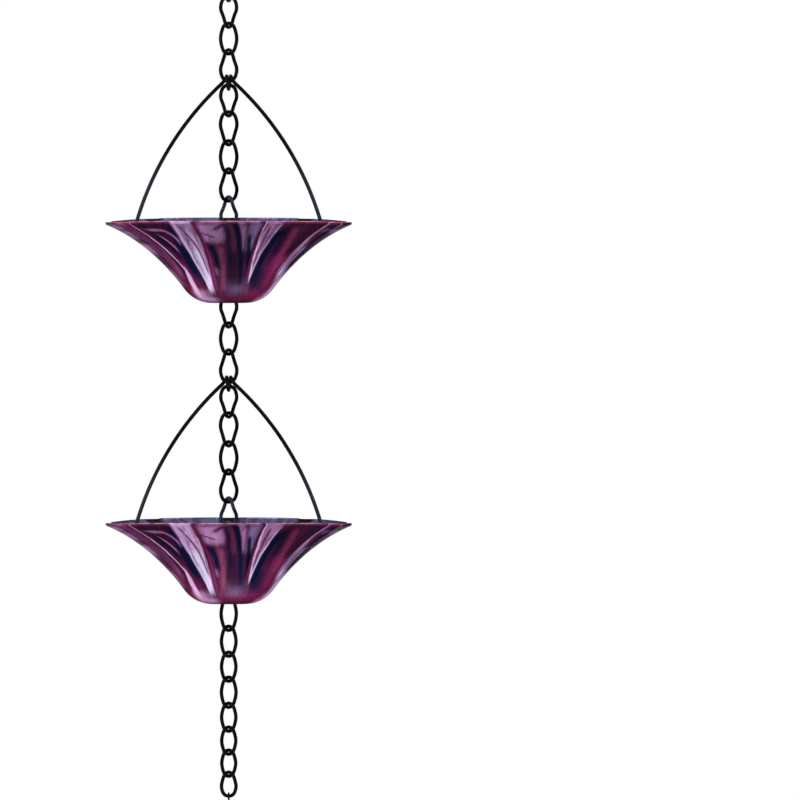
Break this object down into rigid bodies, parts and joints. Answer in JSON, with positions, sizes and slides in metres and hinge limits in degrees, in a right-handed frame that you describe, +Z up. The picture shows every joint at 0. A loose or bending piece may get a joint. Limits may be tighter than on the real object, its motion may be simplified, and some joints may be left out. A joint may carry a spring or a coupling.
{
  "type": "rain chain",
  "caption": "Length of rain chain: fluted flower-shaped metal cups on bowed wire handles, a twisted-link chain through them, a hanging ring and a faceted glass drop.",
  "frame": {"origin": "inside of the hanging ring at its top, where it bears on the hook", "axes": "+Z up along the chain, +X to the right along the wide faces of the handles and of the glass drop, -Y towards the viewer"},
  "size_m": [0.16, 0.159, 0.6207],
  "materials": {
    "cup": "glossy metallic lacquer, burgundy shading to dark blue",
    "handle": "gloss black",
    "chain": "gloss black",
    "crystal": "clear amber, faceted"
  },
  "bodies": {
    "ring": {"hanging_ring": "chain"},
    "lead_link_01": {"lead_link_01": "chain"},
    "lead_link_02": {"lead_link_02": "chain"},
    "lead_link_03": {"lead_link_03": "chain"},
    "lead_link_04": {"lead_link_04": "chain"},
    "cup_unit_1": {"handle_1": "handle", "cup_1": "cup"},
    "inner_link_1_01": {"inner_link_1_01": "chain"},
    "inner_link_1_02": {"inner_link_1_02": "chain"},
    "inner_link_1_03": {"inner_link_1_03": "chain"},
    "inner_link_1_04": {"inner_link_1_04": "chain"},
    "inner_link_1_05": {"inner_link_1_05": "chain"},
    "inner_link_1_06": {"inner_link_1_06": "chain"},
    "inner_link_1_07": {"inner_link_1_07": "chain"},
    "inner_link_1_08": {"inner_link_1_08": "chain"},
    "middle_link_01": {"middle_link_01": "chain"},
    "middle_link_02": {"middle_link_02": "chain"},
    "middle_link_03": {"middle_link_03": "chain"},
    "cup_unit_2": {"handle_2": "handle", "cup_2": "cup"},
    "inner_link_2_01": {"inner_link_2_01": "chain"},
    "inner_link_2_02": {"inner_link_2_02": "chain"},
    "inner_link_2_03": {"inner_link_2_03": "chain"},
    "inner_link_2_04": {"inner_link_2_04": "chain"},
    "inner_link_2_05": {"inner_link_2_05": "chain"},
    "inner_link_2_06": {"inner_link_2_06": "chain"},
    "inner_link_2_07": {"inner_link_2_07": "chain"},
    "inner_link_2_08": {"inner_link_2_08": "chain"},
    "tail_link_01": {"tail_link_01": "chain"},
    "tail_link_02": {"tail_link_02": "chain"},
    "tail_link_03": {"tail_link_03": "chain"},
    "tail_link_04": {"tail_link_04": "chain"},
    "tail_link_05": {"tail_link_05": "chain"},
    "tail_link_06": {"tail_link_06": "chain"},
    "tail_link_07": {"tail_link_07": "chain"},
    "tail_link_08": {"tail_link_08": "chain"},
    "drop_ring": {"drop_ring": "chain"},
    "crystal_drop": {"crystal_drop": "crystal"}
  },
  "joints": [
    {"name": "lead_link_01_swing", "type": "hinge", "parent": "ring", "child": "lead_link_01", "pos_m": [0, 0, -0.0225], "axis": [0, 1, 0], "range_deg": [-20, 20]},
    {"name": "lead_link_02_swing", "type": "hinge", "parent": "lead_link_01", "child": "lead_link_02", "pos_m": [0, 0, -0.0394], "axis": [0.309, 0.9511, 0], "range_deg": [-20, 20]},
    {"name": "lead_link_03_swing", "type": "hinge", "parent": "lead_link_02", "child": "lead_link_03", "pos_m": [0, 0, -0.0566], "axis": [0.5299, 0.848, 0], "range_deg": [-20, 20]},
    {"name": "lead_link_04_swing", "type": "hinge", "parent": "lead_link_03", "child": "lead_link_04", "pos_m": [0, 0, -0.0738], "axis": [0.8746, 0.4848, 0], "range_deg": [-20, 20]},
    {"name": "cup_unit_1_swing", "type": "hinge", "parent": "lead_link_04", "child": "cup_unit_1", "pos_m": [0, 0, -0.0914], "axis": [0.9976, 0.0698, 0], "range_deg": [-25, 25]},
    {"name": "inner_link_1_01_swing", "type": "hinge", "parent": "cup_unit_1", "child": "inner_link_1_01", "pos_m": [0, 0, -0.09665], "axis": [0, 1, 0], "range_deg": [-2, 2]},
    {"name": "inner_link_1_02_swing", "type": "hinge", "parent": "inner_link_1_01", "child": "inner_link_1_02", "pos_m": [0, 0, -0.114], "axis": [-0.5299, -0.848, 0], "range_deg": [-2.2, 2.2]},
    {"name": "inner_link_1_03_swing", "type": "hinge", "parent": "inner_link_1_02", "child": "inner_link_1_03", "pos_m": [0, 0, -0.1327], "axis": [0.6428, 0.766, 0], "range_deg": [-2.6, 2.6]},
    {"name": "inner_link_1_04_swing", "type": "hinge", "parent": "inner_link_1_03", "child": "inner_link_1_04", "pos_m": [0, 0, -0.1509], "axis": [-0.8746, -0.4848, 0], "range_deg": [-3, 3]},
    {"name": "inner_link_1_05_swing", "type": "hinge", "parent": "inner_link_1_04", "child": "inner_link_1_05", "pos_m": [0, 0, -0.1691], "axis": [0.9976, 0.0698, 0], "range_deg": [-3.8, 3.8]},
    {"name": "inner_link_1_06_swing", "type": "hinge", "parent": "inner_link_1_05", "child": "inner_link_1_06", "pos_m": [0, 0, -0.1852], "axis": [-0.9994, 0.0349, 0], "range_deg": [-5, 5]},
    {"name": "inner_link_1_07_swing", "type": "hinge", "parent": "inner_link_1_06", "child": "inner_link_1_07", "pos_m": [0, 0, -0.2013], "axis": [0.6157, -0.788, 0], "range_deg": [-7, 7]},
    {"name": "inner_link_1_08_swing", "type": "hinge", "parent": "inner_link_1_07", "child": "inner_link_1_08", "pos_m": [0, 0, -0.2173], "axis": [0.0349, 0.9994, 0], "range_deg": [-11, 11]},
    {"name": "middle_link_01_swing", "type": "hinge", "parent": "inner_link_1_08", "child": "middle_link_01", "pos_m": [0, 0, -0.2333], "axis": [0.4067, 0.9135, 0], "range_deg": [-20, 20]},
    {"name": "middle_link_02_swing", "type": "hinge", "parent": "middle_link_01", "child": "middle_link_02", "pos_m": [0, 0, -0.2508], "axis": [0.5299, 0.848, 0], "range_deg": [-20, 20]},
    {"name": "middle_link_03_swing", "type": "hinge", "parent": "middle_link_02", "child": "middle_link_03", "pos_m": [0, 0, -0.2683], "axis": [0.8746, 0.4848, 0], "range_deg": [-20, 20]},
    {"name": "cup_unit_2_swing", "type": "hinge", "parent": "middle_link_03", "child": "cup_unit_2", "pos_m": [0, 0, -0.2865], "axis": [0.9976, 0.0698, 0], "range_deg": [-25, 25]},
    {"name": "inner_link_2_01_swing", "type": "hinge", "parent": "cup_unit_2", "child": "inner_link_2_01", "pos_m": [0, 0, -0.29175], "axis": [0, 1, 0], "range_deg": [-2, 2]},
    {"name": "inner_link_2_02_swing", "type": "hinge", "parent": "inner_link_2_01", "child": "inner_link_2_02", "pos_m": [0, 0, -0.3091], "axis": [-0.5299, -0.848, 0], "range_deg": [-2.2, 2.2]},
    {"name": "inner_link_2_03_swing", "type": "hinge", "parent": "inner_link_2_02", "child": "inner_link_2_03", "pos_m": [0, 0, -0.3278], "axis": [0.6428, 0.766, 0], "range_deg": [-2.6, 2.6]},
    {"name": "inner_link_2_04_swing", "type": "hinge", "parent": "inner_link_2_03", "child": "inner_link_2_04", "pos_m": [0, 0, -0.346], "axis": [-0.8746, -0.4848, 0], "range_deg": [-3, 3]},
    {"name": "inner_link_2_05_swing", "type": "hinge", "parent": "inner_link_2_04", "child": "inner_link_2_05", "pos_m": [0, 0, -0.3642], "axis": [0.9976, 0.0698, 0], "range_deg": [-3.8, 3.8]},
    {"name": "inner_link_2_06_swing", "type": "hinge", "parent": "inner_link_2_05", "child": "inner_link_2_06", "pos_m": [0, 0, -0.3803], "axis": [-0.9994, 0.0349, 0], "range_deg": [-5, 5]},
    {"name": "inner_link_2_07_swing", "type": "hinge", "parent": "inner_link_2_06", "child": "inner_link_2_07", "pos_m": [0, 0, -0.3964], "axis": [0.6157, -0.788, 0], "range_deg": [-7, 7]},
    {"name": "inner_link_2_08_swing", "type": "hinge", "parent": "inner_link_2_07", "child": "inner_link_2_08", "pos_m": [0, 0, -0.4124], "axis": [0.0349, 0.9994, 0], "range_deg": [-11, 11]},
    {"name": "tail_link_01_swing", "type": "hinge", "parent": "inner_link_2_08", "child": "tail_link_01", "pos_m": [0, 0, -0.4284], "axis": [0.4067, 0.9135, 0], "range_deg": [-15, 15]},
    {"name": "tail_link_02_swing", "type": "hinge", "parent": "tail_link_01", "child": "tail_link_02", "pos_m": [0, 0, -0.4474], "axis": [0.8387, 0.5446, 0], "range_deg": [-15, 15]},
    {"name": "tail_link_03_swing", "type": "hinge", "parent": "tail_link_02", "child": "tail_link_03", "pos_m": [0, 0, -0.4642], "axis": [0.8387, 0.5446, 0], "range_deg": [-15, 15]},
    {"name": "tail_link_04_swing", "type": "hinge", "parent": "tail_link_03", "child": "tail_link_04", "pos_m": [0, 0, -0.4804], "axis": [0.8387, 0.5446, 0], "range_deg": [-15, 15]},
    {"name": "tail_link_05_swing", "type": "hinge", "parent": "tail_link_04", "child": "tail_link_05", "pos_m": [0, 0, -0.4973], "axis": [0.8387, 0.5446, 0], "range_deg": [-15, 15]},
    {"name": "tail_link_06_swing", "type": "hinge", "parent": "tail_link_05", "child": "tail_link_06", "pos_m": [0, 0, -0.5128], "axis": [0.8387, 0.5446, 0], "range_deg": [-15, 15]},
    {"name": "tail_link_07_swing", "type": "hinge", "parent": "tail_link_06", "child": "tail_link_07", "pos_m": [0, 0, -0.5277], "axis": [0.8387, 0.5446, 0], "range_deg": [-15, 15]},
    {"name": "tail_link_08_swing", "type": "hinge", "parent": "tail_link_07", "child": "tail_link_08", "pos_m": [0, 0, -0.542], "axis": [0.8387, 0.5446, 0], "range_deg": [-15, 15]},
    {"name": "drop_ring_swing", "type": "hinge", "parent": "tail_link_08", "child": "drop_ring", "pos_m": [0, 0, -0.5549], "axis": [0.9962, 0.0872, 0], "range_deg": [-15, 15]},
    {"name": "crystal_drop_swing", "type": "hinge", "parent": "drop_ring", "child": "crystal_drop", "pos_m": [0, 0, -0.5613], "axis": [0, 1, 0], "range_deg": [-25, 25]}
  ]
}
